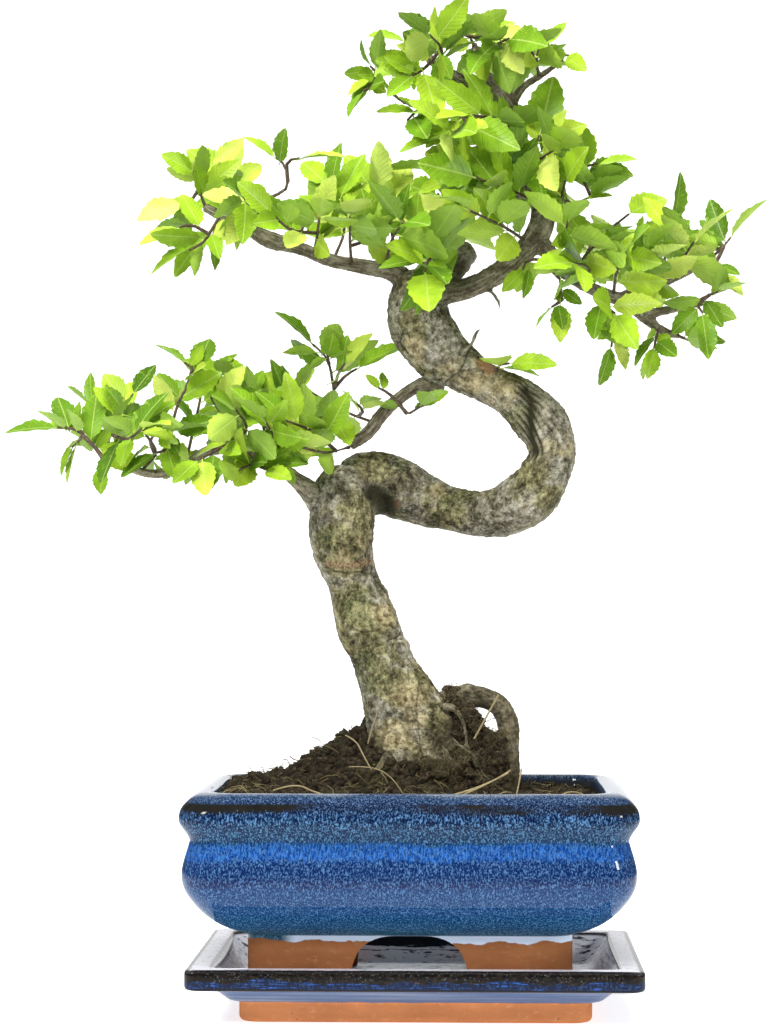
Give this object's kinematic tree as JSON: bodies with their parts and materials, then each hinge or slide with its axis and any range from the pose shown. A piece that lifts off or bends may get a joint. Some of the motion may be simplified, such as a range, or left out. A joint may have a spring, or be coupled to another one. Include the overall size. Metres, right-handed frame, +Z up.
{
  "type": "bonsai tree",
  "caption": "Chinese elm bonsai with an S-shaped trunk, leafy pads and an arching root, in a rounded rectangular glazed pot on a matching drip tray.",
  "frame": {"origin": "middle of the drip tray's flat underside, on the surface it stands on", "axes": "+Z up along the tree, -Y towards the viewer of its front, +X to the right as seen from the front"},
  "size_m": [0.3474, 0.15, 0.458],
  "materials": {
    "tray_glaze": "glossy navy glaze with a dark rim, over an unglazed terracotta foot",
    "pot_glaze": "glossy cobalt glaze with fine light flecks, over an unglazed terracotta foot ring",
    "soil": "matt crumbs, fibres and straw",
    "bark": "rough grey bark",
    "leaf": "satin leaf"
  },
  "bodies": {
    "root": {"drip_tray": "tray_glaze", "pot": "pot_glaze", "soil": "soil", "trunk": "bark", "spray_back_1": "leaf", "spray_back_2": "leaf", "spray_back_3": "leaf", "spray_back_4": "leaf", "spray_left_1": "leaf", "spray_left_2": "leaf", "spray_left_3": "leaf", "spray_left_4": "leaf", "spray_left_5": "leaf", "spray_left_6": "leaf", "spray_left_7": "leaf", "spray_left_8": "leaf", "spray_left_9": "leaf", "spray_left_10": "leaf", "spray_middle_1": "leaf", "spray_middle_2": "leaf", "spray_middle_3": "leaf", "spray_middle_4": "leaf", "spray_middle_5": "leaf", "spray_middle_6": "leaf", "spray_right_1": "leaf", "spray_right_2": "leaf", "spray_right_3": "leaf", "spray_right_4": "leaf", "spray_right_5": "leaf", "spray_right_6": "leaf", "spray_right_7": "leaf", "spray_right_8": "leaf", "spray_right_9": "leaf", "spray_right_10": "leaf", "spray_right_11": "leaf", "spray_right_12": "leaf", "spray_right_13": "leaf", "spray_right_14": "leaf", "spray_right_15": "leaf", "spray_shoot": "leaf", "spray_top_1": "leaf", "spray_top_2": "leaf", "spray_top_3": "leaf", "spray_top_4": "leaf", "spray_top_5": "leaf", "spray_top_6": "leaf", "spray_top_7": "leaf", "spray_top_8": "leaf", "spray_top_9": "leaf", "spray_top_10": "leaf", "spray_upper_1": "leaf", "spray_upper_2": "leaf", "spray_upper_3": "leaf", "spray_upper_4": "leaf", "spray_upper_5": "leaf", "spray_upper_6": "leaf", "spray_upper_7": "leaf", "spray_upper_8": "leaf", "spray_upper_9": "leaf", "spray_upper_10": "leaf"}
  },
  "joints": []
}
